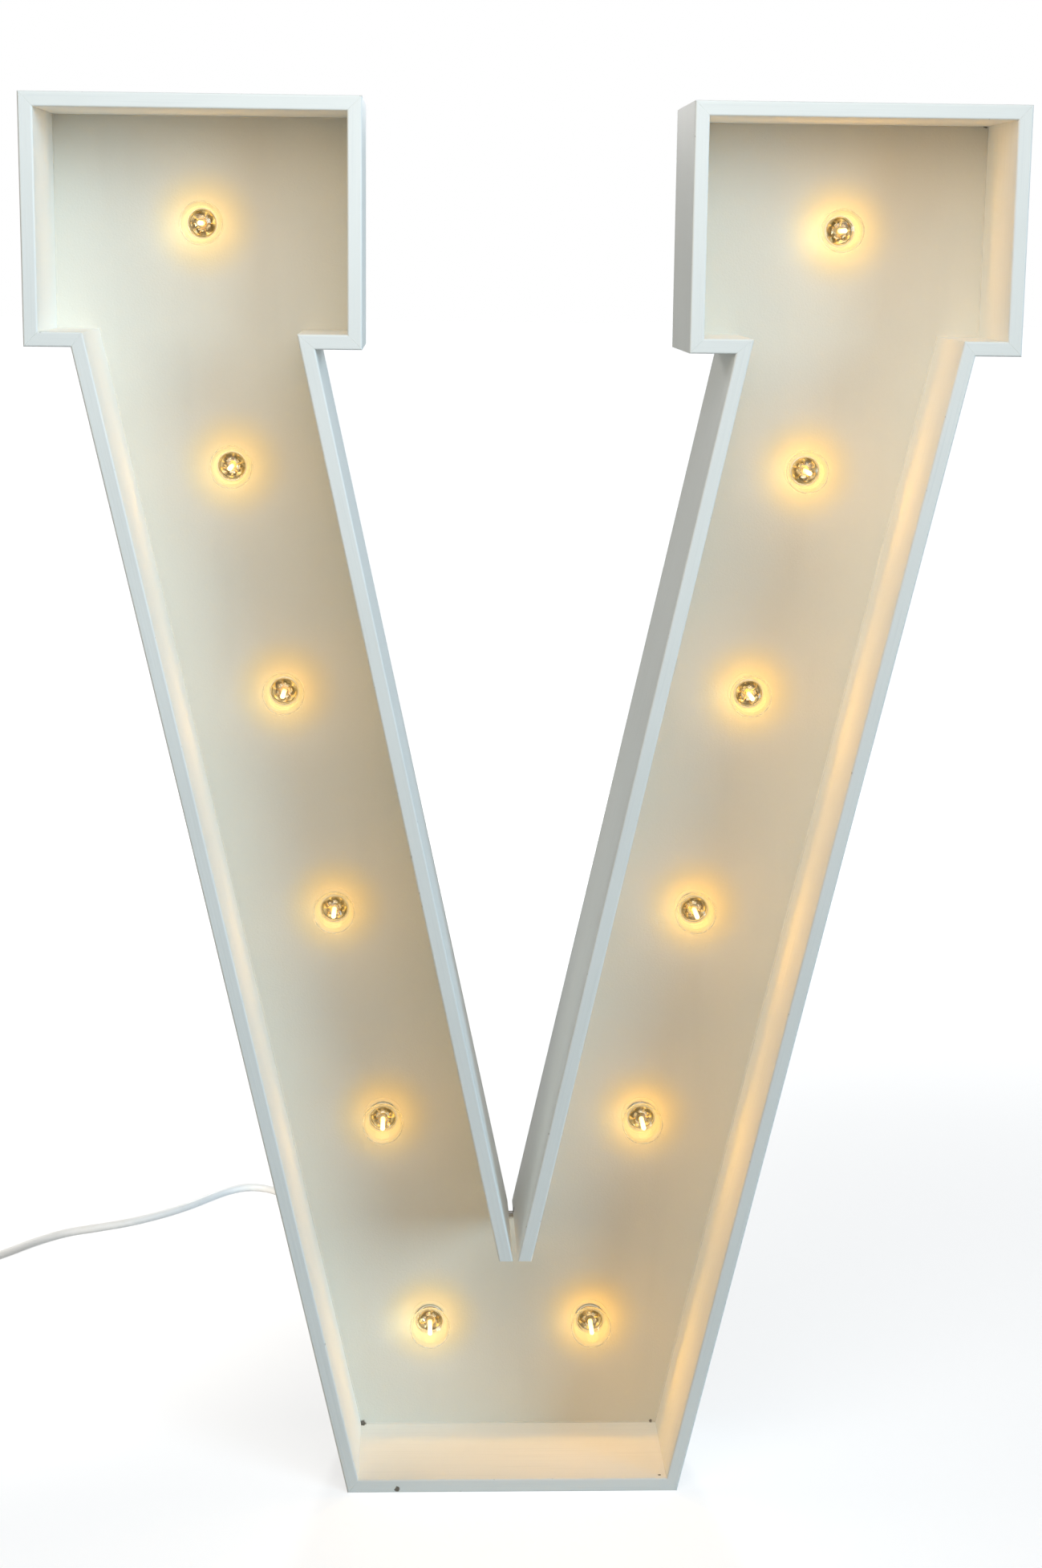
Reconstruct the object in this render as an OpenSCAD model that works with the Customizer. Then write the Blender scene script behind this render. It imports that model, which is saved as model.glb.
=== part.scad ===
// Light-up letter: a slab-serif V built as a shallow box of painted boards round a
// recessed panel. Twelve globe bulbs screw into lampholders set in the panel, a twin
// cable links the lampholders behind it, and a mains lead leaves a junction box at the foot.
// The letter stands on the floor at z = 0, its front faces -Y, and x = 0 is its middle.

/* [Letter outline] */
// Height of the letter
letter_h = 1200; // [1100:10:1500]
// Width across both serifs
letter_w = 812; // [780:2:1000]
// Height of each serif
serif_h = 200; // [140:2:240]
// Overhang of a serif past its leg, on each side
overhang = 38; // [24:1:60]
// Width of a leg, measured level
leg_w = 197; // [150:1:220]
// Width of the foot that the letter stands on
foot_w = 293; // [260:1:340]
// Height of the notch between the legs
notch_z = 217; // [190:1:300]
// Gap between the two notch boards where they come together
notch_gap = 4; // [2:0.5:8]

/* [Boards and panel] */
// Thickness of the rim boards
board_t = 12; // [9:0.5:18]
// Thickness of the panel
panel_t = 9; // [6:0.5:12]
// Depth from the front edges of the boards to the panel
recess = 115; // [80:1:160]
// Space behind the panel, open at the back
back_space = 26; // [25:1:60]
// Glue gap round the edge of the panel
panel_gap = 0.2; // [0.1:0.1:0.5]

/* [Bulbs] */
// Number of bulbs in each leg, below the one in its serif
leg_bulbs = 5; // [3:1:5]
// Height of the lowest bulb
first_bulb_z = 116; // [100:1:130]
// Spacing of the bulbs along a leg
bulb_pitch = 200; // [150:1:205]
// Diameter of the glass globe
globe_d = 37; // [34:0.5:45]
// Thickness of the glass
glass_t = 0.9; // [0.6:0.1:1.2]
// Diameter of the globe's neck
neck_d = 24; // [20:0.5:25]
// Distance from the globe's middle back to the end of its neck
neck_reach = 21; // [20:0.5:26]
// Angle below the globe's middle at which the neck runs into it
neck_angle = 40; // [32:1:48]
// Diameter of the screw cap
cap_d = 26; // [25.5:0.1:27]
// Length of the screw cap with its contact
cap_l = 29; // [26:0.5:31]
// Height of the cap's rim in front of the panel
cap_proud = 2; // [1:0.5:4]
// Length of the cap's straight shell
cap_shell_l = 20; // [17:0.5:22]
// Diameter of the cap's end contact
contact_d = 9; // [7:0.5:11]
// Length of the cap's end contact
contact_l = 2.5; // [1.5:0.1:4]
// Diameter of the light-giving stick on the bulb's axis
stick_d = 4; // [2:0.5:6]
// Gap between the stick's tip and the glass in front of it
tip_gap = 4; // [3:0.5:10]
// Diameter of the stem's foot
stem_d = 14; // [8:0.5:16]
// Height of the stem
stem_l = 6; // [4:0.5:9]

/* [Lampholders] */
// Running clearance round the cap, and under its contact
cap_gap = 0.5; // [0.3:0.1:0.8]
// Wall of the lampholder's barrel
barrel_wall = 3.5; // [2.5:0.1:5]
// Clearance of the barrel in the panel's hole
barrel_gap = 0.3; // [0.1:0.1:0.6]
// Diameter of the flange behind the panel
flange_d = 46; // [44:0.5:52]
// Thickness of the flange
flange_t = 3; // [2:0.5:4]
// Diameter of the housing behind the flange
housing_d = 38; // [37:0.5:42]
// Depth of the lampholder behind the panel
housing_l = 24; // [23:0.5:25]
// Distance from the lampholder's axis to the end of a cable neck
neck_end = 26; // [25:0.5:32]
// Diameter of a cable neck
cable_neck_d = 9; // [8:0.5:10]

/* [Wiring] */
// Diameter of the cable between lampholders
cable_d = 5.5; // [4:0.5:7]
// Height of the cable's middle behind the panel
cable_lift = 6; // [5:0.5:8]
// Width of a cable clip across the cable
clip_w = 13; // [11:0.5:18]
// Length of a cable clip along the cable
clip_l = 8; // [5:0.5:12]
// Wall of a cable clip over the cable
clip_wall = 1.6; // [1:0.1:2.5]
// Width of the junction box
box_w = 64; // [50:1:80]
// Height of the junction box
box_h = 40; // [30:1:50]
// Depth of the junction box
box_d = 23; // [20:0.5:24]
// Radius of the junction box's upright edges
box_r = 5; // [2:0.5:8]
// Length of the strain relief below the junction box
relief_l = 26; // [20:1:34]
// Diameter of the strain relief at the box
relief_d = 16; // [14:0.5:20]
// Diameter of the strain relief's tip
relief_tip_d = 11; // [10:0.5:14]
// Number of grooves round the strain relief
groove_count = 4; // [2:1:5]
// Width of a groove
groove_w = 2; // [1:0.5:2.5]

/* [Lead] */
// Diameter of the mains lead
cord_d = 9; // [8:0.5:9]
// Number of turns in the coil
coil_turns = 3.25; // [2.25:1:4.25]
// Radius of the coil's outer turn
coil_r = 54; // [50:1:70]
// Clearance between turns
coil_gap = 0.6; // [0.5:0.1:1.5]
// Width of the plug
plug_w = 36; // [32:0.5:40]
// Thickness of the plug
plug_h = 28; // [26:0.5:28]
// Length of the plug's body
plug_l = 24; // [18:1:32]
// Length of the plug's sleeve
sleeve_l = 28; // [24:1:36]
// Diameter of the plug's sleeve where it meets the body
sleeve_end_d = 17; // [14:0.5:20]
// Diameter of a plug pin
pin_d = 4.8; // [4:0.1:5]
// Length of a plug pin
pin_l = 19; // [16:0.5:20]
// Distance between the plug pins
pin_pitch = 19; // [17:0.5:20]

/* [Hidden] */
$fn = 64;

// Main planes, from front to back
letter_d = recess + panel_t + back_space;
front_y = -letter_d / 2;
panel_y = front_y + recess;
panel_back_y = panel_y + panel_t;
cable_y = panel_back_y + cable_lift;

// Corners of the left half of the outline in x and z, round from the notch to the foot,
// with the inside of the letter on the left of the way round
serif_z = letter_h - serif_h;
serif_out = letter_w / 2;
leg_out = serif_out - overhang;
leg_in = leg_out - leg_w;
serif_in = leg_in - overhang;
OUTLINE = [
    [-notch_gap / 2, notch_z],
    [-leg_in, serif_z],
    [-serif_in, serif_z],
    [-serif_in, letter_h],
    [-serif_out, letter_h],
    [-serif_out, serif_z],
    [-leg_out, serif_z],
    [-foot_w / 2, 0],
];
BOARDS = [
    "inner_leg_board", "inner_ledge", "inner_cheek", "top_board",
    "outer_cheek", "outer_ledge", "outer_leg_board",
];
SIDES = ["left", "right"];

// The outline set in by t, corner by corner: each new corner is where the two lines
// beside it meet. The notch end is cut level, and the foot meets the bottom board.
function unit(v) = v / norm(v);
function left_of(d) = [-d[1], d[0]];
function meet(p, d, q, e) = p + d * ((q - p) * left_of(e)) / (d * left_of(e));
function edge(i) = unit(i == len(OUTLINE) - 1 ? [1, 0] : OUTLINE[i + 1] - OUTLINE[i]);
function shifted(i, t) = OUTLINE[i] + left_of(edge(i)) * t;
function set_in(t, drop) = [
    for (i = [0 : len(OUTLINE) - 1])
        i == 0
            ? meet(shifted(0, t), edge(0), OUTLINE[0] - [0, drop], [1, 0])
            : meet(shifted(i - 1, t), edge(i - 1), shifted(i, t), edge(i))
];
function mirrored(points) = [for (i = [len(points) - 1 : -1 : 0]) [-points[i][0], points[i][1]]];

INNER = set_in(board_t, 0);
PANEL = set_in(board_t + panel_gap, panel_gap);
FOOT = len(OUTLINE) - 1;

// Bulb places in x and z on the left, from the foot up, with the serif's own bulb last
leg_slope = (leg_out - foot_w / 2) / serif_z;
bulb_rise = bulb_pitch / norm([leg_slope, 1]);
function leg_middle(z) = -(foot_w / 2 + leg_slope * z - leg_w / 2);
BULBS = concat(
    [
        for (i = [0 : leg_bulbs - 1])
            let (z = first_bulb_z + i * bulb_rise)
                [leg_middle(z), z]
    ],
    [[-(serif_out + serif_in) / 2, letter_h - serif_h / 2]]
);
per_side = len(BULBS);
BOX_AT = [0, first_bulb_z];

// Length of the light-giving stick, from the stem to just short of the glass
stick_l = neck_reach + globe_d / 2 - glass_t - cap_gap / 2 - stem_l - tip_gap;

// Lampholder sizes that follow the cap
bore_d = cap_d + 2 * cap_gap;
barrel_d = bore_d + 2 * barrel_wall;
bore_l = cap_l - cap_proud + cap_gap;

// Route of the lead from the strain relief: down, out over the foot's back edge, along
// the floor behind the left leg, round, and away to the left
relief_end = [0, panel_back_y + box_d / 2, first_bulb_z - box_h / 2 - relief_l];
floor_z = cord_d / 2;
ROUTE = concat([relief_end, relief_end - [0, 0, 16]], [
    [0, 64, 37], [0, 73, 24], [0, 86, 15], [0, 103, 11], [-2, 124, 7], [-5, 150, floor_z],
    [-13, 190, floor_z], [-26, 235, floor_z], [-44, 285, floor_z], [-66, 335, floor_z],
    [-92, 385, floor_z], [-120, 435, floor_z], [-147, 485, floor_z], [-172, 535, floor_z],
    [-196, 585, floor_z], [-219, 630, floor_z], [-240, 661, floor_z], [-262, 681, floor_z],
    [-284, 685, floor_z], [-304, 675, floor_z], [-324, 654, floor_z], [-347, 626, floor_z],
    [-374, 600, floor_z], [-408, 575, floor_z], [-444, 557, floor_z], [-476, 542, floor_z],
    [-504, 518, floor_z], [-530, 488, floor_z], [-554, 462, floor_z], [-578, 440, floor_z],
]);
cord_steps = 2;
cord_sides = 10;

// A smooth line through the route's points, with steps rings between each two
function curve(p, i, t) =
    let (
        n = len(p) - 1,
        a = i == 0 ? 2 * p[0] - p[1] : p[i - 1],
        b = p[i],
        c = p[i + 1],
        d = i + 2 > n ? 2 * p[n] - p[n - 1] : p[i + 2]
    )
        0.5 * (2 * b + (c - a) * t + (2 * a - 5 * b + 4 * c - d) * t * t + (3 * b - a - 3 * c + d) * t * t * t);
function smooth(p, steps) = concat(
    [for (i = [0 : len(p) - 2], k = [0 : steps - 1]) curve(p, i, k / steps)],
    [p[len(p) - 1]]
);

// The coil lies flat and starts where the route ends. It winds clockwise from outside in,
// then out again one layer up, and climbs in the half turn where it reverses.
route_last = ROUTE[len(ROUTE) - 1];
route_way = unit(route_last - ROUTE[len(ROUTE) - 2]);
coil_step = cord_d + coil_gap;
coil_lean = atan(coil_step / (2 * PI * coil_r));
coil_start = route_last + cord_d * route_way;
coil_angle = atan2(route_way[1], route_way[0]) + 90 + coil_lean;
coil_mid = coil_start - coil_r * [cos(coil_angle), sin(coil_angle), 0];
coil_rings = 24;
coil_sides = 6;
function eased(t) = t <= 0 ? 0 : t >= 1 ? 1 : t * t * (3 - 2 * t);
function coil_point(u) =
    let (
        r = coil_r - coil_step * min(u, coil_turns - u),
        a = coil_angle - 360 * u,
        climb = eased(2 * (u - coil_turns / 2) + 0.5)
    )
        coil_mid + [r * cos(a), r * sin(a), climb * coil_step];
coil_end = coil_point(coil_turns);
plug_heading = coil_angle - 360 * coil_turns - 90 + coil_lean;
plug_way = [cos(plug_heading), sin(plug_heading), 0];
plug_at = coil_end + 2 * cord_d * plug_way;
COIL = concat(
    [route_last],
    [for (i = [0 : coil_turns * coil_rings]) coil_point(i / coil_rings)],
    [plug_at]
);
third_turn = coil_rings / 3;
coil_clear = min([
    for (i = [0 : len(COIL) - 1], j = [i + third_turn : 1 : len(COIL) - 1])
        norm(COIL[i] - COIL[j]) - cord_d
]);
echo(coil_least_gap = coil_clear);

// A round tube along a line of points, closed by flat ends square to the line. No part
// of either line runs along ref, which turns the rings.
ref = [1, -1, 1];
function way(p, i) = unit(p[min(i + 1, len(p) - 1)] - p[max(i - 1, 0)]);
function ring(p, i, r, sides) =
    let (
        w = way(p, i),
        s = unit(cross(w, ref)),
        v = cross(w, s)
    )
        [for (k = [0 : sides - 1]) p[i] + r * (cos(360 * k / sides) * s + sin(360 * k / sides) * v)];

module tube(p, d, sides) {
    n = len(p);
    points = [for (i = [0 : n - 1]) each ring(p, i, d / 2, sides)];
    walls = [
        for (i = [0 : n - 2], k = [0 : sides - 1])
            let (
                a = i * sides + k,
                b = i * sides + (k + 1) % sides
            )
                each [[a, b, a + sides], [b, b + sides, a + sides]]
    ];
    near = [for (k = [1 : sides - 2]) [0, k + 1, k]];
    far = [for (k = [1 : sides - 2]) [0, k, k + 1] + (n - 1) * sides * [1, 1, 1]];
    polyhedron(points = points, faces = concat(near, walls, far));
}

// Puts a left-hand piece on its side of the letter
module on_side(side) {
    if (side == "left") children();
    else mirror([1, 0, 0]) children();
}

// Extrudes an outline in x and z along Y, from y to y + depth
module upright(y, depth) {
    translate([0, y + depth, 0]) rotate([90, 0, 0]) linear_extrude(depth) children();
}

// Sets a bulb piece on its lampholder's axis, with its own +Z out of the panel's front
module on_axis(i) {
    translate([BULBS[i][0], panel_y, BULBS[i][1]]) rotate([90, 0, 0]) children();
}

// One rim board, mitred to its neighbours
module rim_board(i) {
    color("#e9efee")
        upright(front_y, letter_d)
            polygon([OUTLINE[i], OUTLINE[i + 1], INNER[i + 1], INNER[i]]);
}

module bottom_board() {
    foot = concat([OUTLINE[FOOT]], [[-OUTLINE[FOOT][0], 0]], [[-INNER[FOOT][0], INNER[FOOT][1]]], [INNER[FOOT]]);
    color("#e9efee") upright(front_y, letter_d) polygon(foot);
}

// The sheet that closes the letter, let in between the boards and drilled for the lampholders
module panel() {
    color("#e3e4dd")
        difference() {
            upright(panel_y, panel_t) polygon(concat(PANEL, mirrored(PANEL)));
            for (side = SIDES, i = [0 : per_side - 1])
                on_side(side)
                    on_axis(i)
                        translate([0, 0, -panel_t - 1])
                            cylinder(d = barrel_d + 2 * barrel_gap, h = panel_t + 2);
        }
}

// Half section of the globe's inside or outside: a ball, and a flared neck that ends inside it
module globe_section(r, neck_r) {
    run_in = (r - glass_t) * [cos(neck_angle), -sin(neck_angle)];
    intersection() {
        union() {
            circle(r);
            polygon([[0, -neck_reach], [neck_r, -neck_reach], run_in, [0, run_in[1]]]);
        }
        translate([0, -neck_reach]) square([2 * r, neck_reach + 2 * r]);
    }
}

module globe(i) {
    color("#fff3c8", 0.4)
        on_axis(i)
            translate([0, 0, cap_proud + neck_reach])
                rotate_extrude()
                    difference() {
                        globe_section(globe_d / 2, neck_d / 2);
                        globe_section(globe_d / 2 - glass_t, neck_d / 2 - glass_t);
                    }
}

// Screw cap: a straight shell, a tapered insulator and the end contact
module cap(i) {
    shell_end = cap_proud - cap_shell_l;
    contact_end = cap_proud - cap_l;
    color("#b9b7ae")
        on_axis(i)
            rotate_extrude()
                polygon([
                    [0, cap_proud],
                    [cap_d / 2, cap_proud],
                    [cap_d / 2, shell_end],
                    [contact_d / 2 + 1, contact_end + contact_l],
                    [contact_d / 2, contact_end + contact_l],
                    [contact_d / 2, contact_end],
                    [0, contact_end],
                ]);
}

// Glass stem on the cap, with the light-giving stick on its top
module filament(i) {
    color("#ffe27a")
        on_axis(i)
            translate([0, 0, cap_proud + cap_gap / 2]) {
                cylinder(d1 = stem_d, d2 = stick_d + 2, h = stem_l);
                translate([0, 0, stem_l]) cylinder(d = stick_d, h = stick_l);
            }
}

// Where a lampholder's cable goes: to the next one up and down, or to the junction box
function next_up(i) = BULBS[i + 1] - BULBS[i];
function next_down(i) = i == 0 ? BOX_AT - BULBS[0] : BULBS[i - 1] - BULBS[i];
function cable_ways(i) = i == per_side - 1 ? [next_down(i)] : [next_down(i), next_up(i)];

module lampholder(i) {
    on_axis(i)
        difference() {
            union() {
                translate([0, 0, -panel_t - flange_t]) cylinder(d = barrel_d, h = panel_t + flange_t);
                translate([0, 0, -panel_t - flange_t]) cylinder(d = flange_d, h = flange_t);
                translate([0, 0, -panel_t - housing_l]) cylinder(d = housing_d, h = housing_l);
                for (v = cable_ways(i))
                    translate([0, 0, -panel_t - cable_lift])
                        rotate([0, 0, atan2(v[1], v[0])])
                            rotate([0, 90, 0])
                                cylinder(d = cable_neck_d, h = neck_end);
            }
            translate([0, 0, -bore_l]) cylinder(d = bore_d, h = bore_l + 1);
        }
}

module lampholders() {
    color("#dcdad2")
        for (side = SIDES, i = [0 : per_side - 1])
            on_side(side) lampholder(i);
}

// One straight run of cable in x and z, behind the panel
module run_between(a, b) {
    v = b - a;
    translate([a[0], cable_y, a[1]])
        rotate([0, -atan2(v[1], v[0]), 0])
            rotate([0, 90, 0])
                children();
}

// Ends of the run from lampholder i to the next one down, or to the side of the box
function run_from(i) = BULBS[i] + unit(next_down(i)) * neck_end;
function run_to(i) = i == 0 ? BOX_AT - [box_w / 2, 0] : BULBS[i - 1] - unit(next_down(i)) * neck_end;

module harness() {
    color("#f1efe8")
        for (side = SIDES, i = [0 : per_side - 1])
            on_side(side)
                run_between(run_from(i), run_to(i))
                    cylinder(d = cable_d, h = norm(run_to(i) - run_from(i)));
}

// A saddle over the middle of each run, glued to the back of the panel
module harness_clips() {
    clip_h = cable_lift + cable_d / 2 + clip_wall;
    color("#f6f5f0")
        for (side = SIDES, i = [1 : per_side - 1])
            on_side(side)
                run_between((run_from(i) + run_to(i)) / 2, run_to(i))
                    difference() {
                        translate([-clip_w / 2, -cable_lift, -clip_l / 2]) cube([clip_w, clip_h, clip_l]);
                        translate([0, 0, -clip_l]) cylinder(d = cable_d + 2 * panel_gap, h = 2 * clip_l);
                    }
}

// Level section of the junction box, with round upright edges
module box_section() {
    for (x = [-1, 1], y = [-1, 1])
        translate([x * (box_w / 2 - box_r), y * (box_h / 2 - box_r)]) circle(box_r);
    square([box_w - 2 * box_r, box_h], center = true);
    square([box_w, box_h - 2 * box_r], center = true);
}

module junction_box() {
    color("#e6e4dc") translate([0, 0, BOX_AT[1]]) upright(panel_back_y, box_d) box_section();
}

// Tapered, ringed sleeve that holds the lead under the junction box
module strain_relief() {
    pitch = relief_l / (groove_count + 1);
    color("#efeee8")
        translate(relief_end)
            difference() {
                cylinder(d1 = relief_tip_d, d2 = relief_d, h = relief_l);
                for (k = [1 : groove_count])
                    translate([0, 0, k * pitch - groove_w / 2])
                        difference() {
                            cylinder(d = 2 * relief_d, h = groove_w);
                            translate([0, 0, -1]) cylinder(d = cord_d + 1, h = groove_w + 2);
                        }
            }
}

module cord() {
    color("#f7f7f4") tube(smooth(ROUTE, cord_steps), cord_d, cord_sides);
}

module cord_coil() {
    color("#f7f7f4") tube(COIL, cord_d, coil_sides);
}

// Section of the plug's body across the lead
module plug_section() {
    corner = plug_h / 3;
    for (x = [-1, 1], y = [-1, 1])
        translate([x * (plug_w / 2 - corner), y * (plug_h / 2 - corner)]) circle(corner);
    square([plug_w - 2 * corner, plug_h], center = true);
    square([plug_w, plug_h - 2 * corner], center = true);
}

module plug() {
    color("#f4f4f0")
        translate(plug_at)
            rotate([0, 0, plug_heading])
                rotate([90, 0, 90]) {
                    cylinder(d1 = cord_d + 2, d2 = sleeve_end_d, h = sleeve_l);
                    translate([0, 0, sleeve_l]) linear_extrude(plug_l) plug_section();
                    for (x = [-1, 1])
                        translate([x * pin_pitch / 2, 0, sleeve_l + plug_l]) {
                            cylinder(d = pin_d, h = pin_l - pin_d / 2);
                            translate([0, 0, pin_l - pin_d / 2]) sphere(d = pin_d);
                        }
                }
}

BULB_PIECES = ["globe", "cap", "filament"];

panel();
bottom_board();
for (side = SIDES, i = [0 : len(BOARDS) - 1])
    on_side(side) rim_board(i);
for (side = SIDES, i = [0 : per_side - 1]) {
    on_side(side) globe(i);
    on_side(side) cap(i);
    on_side(side) filament(i);
}
lampholders();
harness();
harness_clips();
junction_box();
strain_relief();
cord();
cord_coil();
plug();
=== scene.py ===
"""Looks of a light-up letter: a slab-serif V of painted boards with twelve globe bulbs."""
import math

import bmesh
import bpy
from mathutils import Matrix, Vector


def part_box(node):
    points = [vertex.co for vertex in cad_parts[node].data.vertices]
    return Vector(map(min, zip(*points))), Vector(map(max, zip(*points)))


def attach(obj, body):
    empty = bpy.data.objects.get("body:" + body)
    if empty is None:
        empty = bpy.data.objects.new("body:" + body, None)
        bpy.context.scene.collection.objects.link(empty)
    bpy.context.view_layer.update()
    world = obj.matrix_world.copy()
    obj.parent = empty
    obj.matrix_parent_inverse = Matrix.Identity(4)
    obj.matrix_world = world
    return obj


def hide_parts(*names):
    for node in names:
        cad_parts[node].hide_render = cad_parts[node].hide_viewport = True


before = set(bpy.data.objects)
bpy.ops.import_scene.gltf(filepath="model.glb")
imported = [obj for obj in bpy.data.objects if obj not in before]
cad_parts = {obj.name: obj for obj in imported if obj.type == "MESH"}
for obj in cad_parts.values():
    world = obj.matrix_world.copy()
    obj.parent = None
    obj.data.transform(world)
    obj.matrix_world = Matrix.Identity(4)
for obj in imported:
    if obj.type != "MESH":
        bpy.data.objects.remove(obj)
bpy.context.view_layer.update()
scene = bpy.context.scene
scene.view_settings.view_transform = "Standard"

# Camera: a standing view from a little left of the letter's middle, looking down on it.
# Its place, turn and focal length were fitted to the letter's corners in the picture.
camera_at = Vector((-0.0854, -2.2170, 1.0779))
yaw, pitch, roll = (math.radians(angle) for angle in (2.282, 11.496, -0.681))
focal_px, picture_h = 3247.8, 1954
ahead = Vector((math.sin(yaw) * math.cos(pitch), math.cos(yaw) * math.cos(pitch), -math.sin(pitch)))
level = Vector((math.cos(yaw), -math.sin(yaw), 0))
below = ahead.cross(level)
across = math.cos(roll) * level + math.sin(roll) * below
down = math.cos(roll) * below - math.sin(roll) * level
lens = bpy.data.cameras.new("camera")
lens.sensor_width = 36
lens.lens = focal_px / picture_h * lens.sensor_width
lens.clip_end = 100
camera = bpy.data.objects.new("camera", lens)
turn = Matrix((across, -down, -ahead)).transposed()
camera.matrix_world = Matrix.Translation(camera_at) @ turn.to_4x4()
scene.collection.objects.link(camera)
scene.camera = camera

# Mains lead: a round white PVC cable, 9 mm thick. It leaves the strain relief under the
# junction box, drops to the floor, runs off behind the left leg and ends in a tied coil.
lead_d = 0.009
lead_route = [
    (0, .0605, .070), (0, .0605, .054), (0, .064, .037), (0, .073, .024), (0, .086, .015), (0, .103, .011),
    (-.002, .124, .007),
] + [(x, y, lead_d / 2) for x, y in (
    (-.005, .150), (-.013, .190), (-.026, .235), (-.044, .285), (-.066, .335), (-.092, .385), (-.120, .435),
    (-.147, .485), (-.172, .535), (-.196, .585), (-.219, .630), (-.240, .661), (-.262, .681), (-.284, .685),
    (-.304, .675), (-.324, .654), (-.347, .626), (-.374, .600), (-.408, .575), (-.444, .557), (-.476, .542),
    (-.504, .518), (-.530, .488), (-.554, .462), (-.578, .440),
)]
coil_r, coil_turns, coil_step = 0.054, 3.25, 0.0096
route_steps, coil_steps, plug_entry = 6, 48, 0.004


class Value:
    """An output of a node in a tree. Arithmetic on it adds Math nodes to that tree."""

    def __init__(self, flow, socket):
        self.flow, self.socket = flow, socket

    def maths(self, operation, *others):
        return self.flow.node("ShaderNodeMath", {"operation": operation}, dict(enumerate((self, *others))))

    def __add__(self, other):
        return self.maths("ADD", other)

    def __sub__(self, other):
        return self.maths("SUBTRACT", other)

    def __rsub__(self, other):
        return self.flow.node("ShaderNodeMath", {"operation": "SUBTRACT"}, {0: other, 1: self})

    def __mul__(self, other):
        return self.maths("MULTIPLY", other)

    def __truediv__(self, other):
        return self.maths("DIVIDE", other)

    __radd__, __rmul__ = __add__, __mul__


class Flow:
    """A node tree that is being wired."""

    def __init__(self, tree):
        self.tree = tree

    def node(self, kind, settings=None, inputs=None, out=0):
        """Adds a node, sets it up, fills its sockets with numbers or links, and gives one output."""
        made = self.tree.nodes.new(kind)
        for name, value in (settings or {}).items():
            setattr(made, name, value)
        for name, value in (inputs or {}).items():
            if isinstance(value, Value):
                self.tree.links.new(value.socket, made.inputs[name])
            else:
                made.inputs[name].default_value = value
        return Value(self, made.outputs[out])


class Finish(Flow):
    """A material: a principled shader whose constants are set on its own sockets."""

    def __init__(self, name, constants):
        self.material = bpy.data.materials.new(name)
        self.material.use_nodes = True
        super().__init__(self.material.node_tree)
        self.shader = self.tree.nodes["Principled BSDF"]
        for socket, value in constants.items():
            self.shader.inputs[socket].default_value = value

    def feed(self, **values):
        """Links values to the shader's sockets, such as Base_Color."""
        for socket, value in values.items():
            self.tree.links.new(value.socket, self.shader.inputs[socket.replace("_", " ")])

    def place(self):
        return self.node("ShaderNodeTexCoord", out="Object")

    def noise(self, at, scale, detail=3, stretch=(1, 1, 1), seed=0):
        """Grey noise, stretched along an axis where that axis has a small number."""
        moves = {"Vector": at, "Scale": stretch, "Location": (seed, seed, seed)}
        moved = self.node("ShaderNodeMapping", {}, moves)
        return self.node("ShaderNodeTexNoise", {}, {"Vector": moved, "Scale": scale, "Detail": detail})

    def between(self, value, low, high):
        """0 below low and 1 above high, smooth between them; high may be the smaller one."""
        span = {"Value": value, "From Min": low, "From Max": high}
        return self.node("ShaderNodeMapRange", {"interpolation_type": "SMOOTHSTEP"}, span)

    def blend(self, factor, first, second):
        """The first colour where the factor is 0 and the second where it is 1."""
        ends = {6 + i: c if isinstance(c, Value) else (*c, 1) for i, c in enumerate((first, second))}
        return self.node("ShaderNodeMix", {"data_type": "RGBA"}, {0: factor, **ends}, out=2)

    def bump(self, height, distance, strength):
        relief = {"Height": height, "Distance": distance, "Strength": strength}
        return self.node("ShaderNodeBump", {}, relief)


def smooth_line(points, steps):
    """Points of a Catmull-Rom line through the given points."""
    points = [Vector(p) for p in points]
    ends = [2 * points[0] - points[1], *points, 2 * points[-1] - points[-2]]
    line = []
    for a, b, c, d in zip(ends, ends[1:], ends[2:], ends[3:]):
        square, cube = 2 * a - 5 * b + 4 * c - d, 3 * b - a - 3 * c + d
        for t in (k / steps for k in range(steps)):
            line.append((2 * b + (c - a) * t + square * t**2 + cube * t**3) / 2)
    return line + [points[-1]]


def coil_point(u):
    """The coil's centreline after u turns: clockwise and inwards, then out again one layer up."""
    rise = min(max(2 * (u - coil_turns / 2) + 0.5, 0), 1)
    radius = coil_r - coil_step * min(u, coil_turns - u)
    angle = coil_angle - 2 * math.pi * u
    height = coil_step * rise**2 * (3 - 2 * rise)
    return coil_mid + Vector((radius * math.cos(angle), radius * math.sin(angle), height))


route_end = Vector(lead_route[-1])
route_way = (route_end - Vector(lead_route[-2])).normalized()
coil_lean = math.atan(coil_step / (2 * math.pi * coil_r))
coil_angle = math.atan2(route_way.y, route_way.x) + math.pi / 2 + coil_lean
coil_mid = route_end + lead_d * route_way - coil_r * Vector((math.cos(coil_angle), math.sin(coil_angle), 0))
plug_heading = coil_angle - 2 * math.pi * coil_turns - math.pi / 2 + coil_lean
plug_way = Vector((math.cos(plug_heading), math.sin(plug_heading), 0))
plug_at = coil_point(coil_turns) + 2 * lead_d * plug_way
lead_line = smooth_line(lead_route, route_steps)
lead_line += [coil_point(k / coil_steps) for k in range(int(coil_turns * coil_steps) + 1)]
lead_line.append(plug_at + plug_entry * plug_way)
lead_curve = bpy.data.curves.new("lead", "CURVE")
lead_curve.dimensions = "3D"
lead_curve.bevel_depth = lead_d / 2
lead_curve.bevel_resolution = 5
lead_curve.use_fill_caps = True
lead_spline = lead_curve.splines.new("POLY")
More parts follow.
